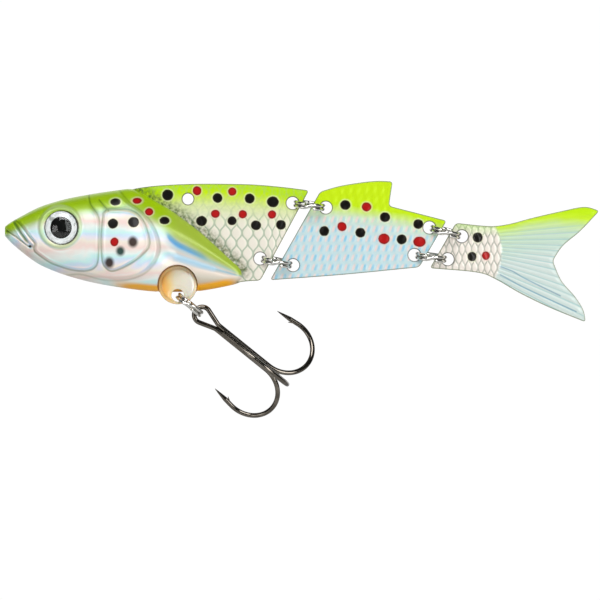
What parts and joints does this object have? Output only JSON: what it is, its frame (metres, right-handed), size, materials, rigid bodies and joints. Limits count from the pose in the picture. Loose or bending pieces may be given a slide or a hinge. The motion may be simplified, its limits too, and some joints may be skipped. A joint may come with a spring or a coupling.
{
  "type": "swimbait",
  "caption": "Jointed swimbait lure: moulded fish head on a flat blade, two hinged blade sections with a forked tail, split rings and a treble hook.",
  "frame": {"origin": "centre of the line-tie hole in the front blade, on the mid-plane", "axes": "+X along the body towards the tail, +Y across the blade to the fish's right side, +Z towards the back fin"},
  "size_m": [0.0901, 0.0152, 0.036],
  "materials": {
    "painted_head": "clear-coated paint, chartreuse back over pearl sides",
    "painted_blade": "clear-coated paint, chartreuse back over pearl scales with black and red spots",
    "pearl_hanger": "moulded pearl plastic",
    "bright_nickel": "bright nickel-plated spring steel",
    "black_nickel": "black nickel-plated carbon steel",
    "braze": "plated braze metal",
    "eye_foil": "silver foil with a printed black pupil",
    "eye_resin": "clear domed resin",
    "ballast": "plain turned steel"
  },
  "bodies": {
    "head": {"head_shell_left": "painted_head", "head_shell_right": "painted_head", "front_blade": "painted_blade", "hook_hanger": "pearl_hanger", "keel_weight": "ballast", "eye_foil_left": "eye_foil", "eye_foil_right": "eye_foil", "eye_lens_left": "eye_resin", "eye_lens_right": "eye_resin"},
    "mid": {"mid_blade": "painted_blade"},
    "tail": {"tail_blade": "painted_blade"},
    "front_upper_ring": {"front_upper_ring": "bright_nickel"},
    "front_lower_ring": {"front_lower_ring": "bright_nickel"},
    "rear_upper_ring": {"rear_upper_ring": "bright_nickel"},
    "rear_lower_ring": {"rear_lower_ring": "bright_nickel"},
    "hook_ring": {"hook_ring": "bright_nickel"},
    "treble": {"treble_double_wire": "black_nickel", "treble_single_wire": "black_nickel", "treble_braze": "braze"}
  },
  "joints": [
    {"name": "front_fold", "type": "hinge", "parent": "head", "child": "mid", "pos_m": [0.0184, 0, -0.00096], "axis": [0.5, 0, 0.866], "range_deg": [-50, 50]},
    {"name": "front_upper_ring_turn", "type": "hinge", "parent": "head", "child": "front_upper_ring", "pos_m": [0.0184, 0, -0.00096], "axis": [0.5, 0, 0.866], "range_deg": [-25, 25]},
    {"name": "front_lower_ring_turn", "type": "hinge", "parent": "head", "child": "front_lower_ring", "pos_m": [0.01345, 0, -0.00953], "axis": [0.5, 0, 0.866], "range_deg": [-25, 25]},
    {"name": "rear_fold", "type": "hinge", "parent": "mid", "child": "tail", "pos_m": [0.0391, 0, -0.00499], "axis": [0.5, 0, 0.866], "range_deg": [-50, 50]},
    {"name": "rear_upper_ring_turn", "type": "hinge", "parent": "mid", "child": "rear_upper_ring", "pos_m": [0.0391, 0, -0.00499], "axis": [0.5, 0, 0.866], "range_deg": [-25, 25]},
    {"name": "rear_lower_ring_turn", "type": "hinge", "parent": "mid", "child": "rear_lower_ring", "pos_m": [0.03689, 0, -0.00882], "axis": [0.5, 0, 0.866], "range_deg": [-25, 25]},
    {"name": "hook_ring_swing", "type": "hinge", "parent": "head", "child": "hook_ring", "pos_m": [-0.00155, 0, -0.01462], "axis": [0, 1, 0], "range_deg": [0, 100]},
    {"name": "treble_swing", "type": "hinge", "parent": "hook_ring", "child": "treble", "pos_m": [0.00024, 0, -0.01606], "axis": [0.628, 0, 0.7782], "range_deg": [-65, 65]}
  ],
  "couplings": [
    {"joint": "front_upper_ring_turn", "follows": "front_fold", "ratio": 0.5},
    {"joint": "front_lower_ring_turn", "follows": "front_fold", "ratio": 0.5},
    {"joint": "rear_upper_ring_turn", "follows": "rear_fold", "ratio": 0.5},
    {"joint": "rear_lower_ring_turn", "follows": "rear_fold", "ratio": 0.5}
  ]
}
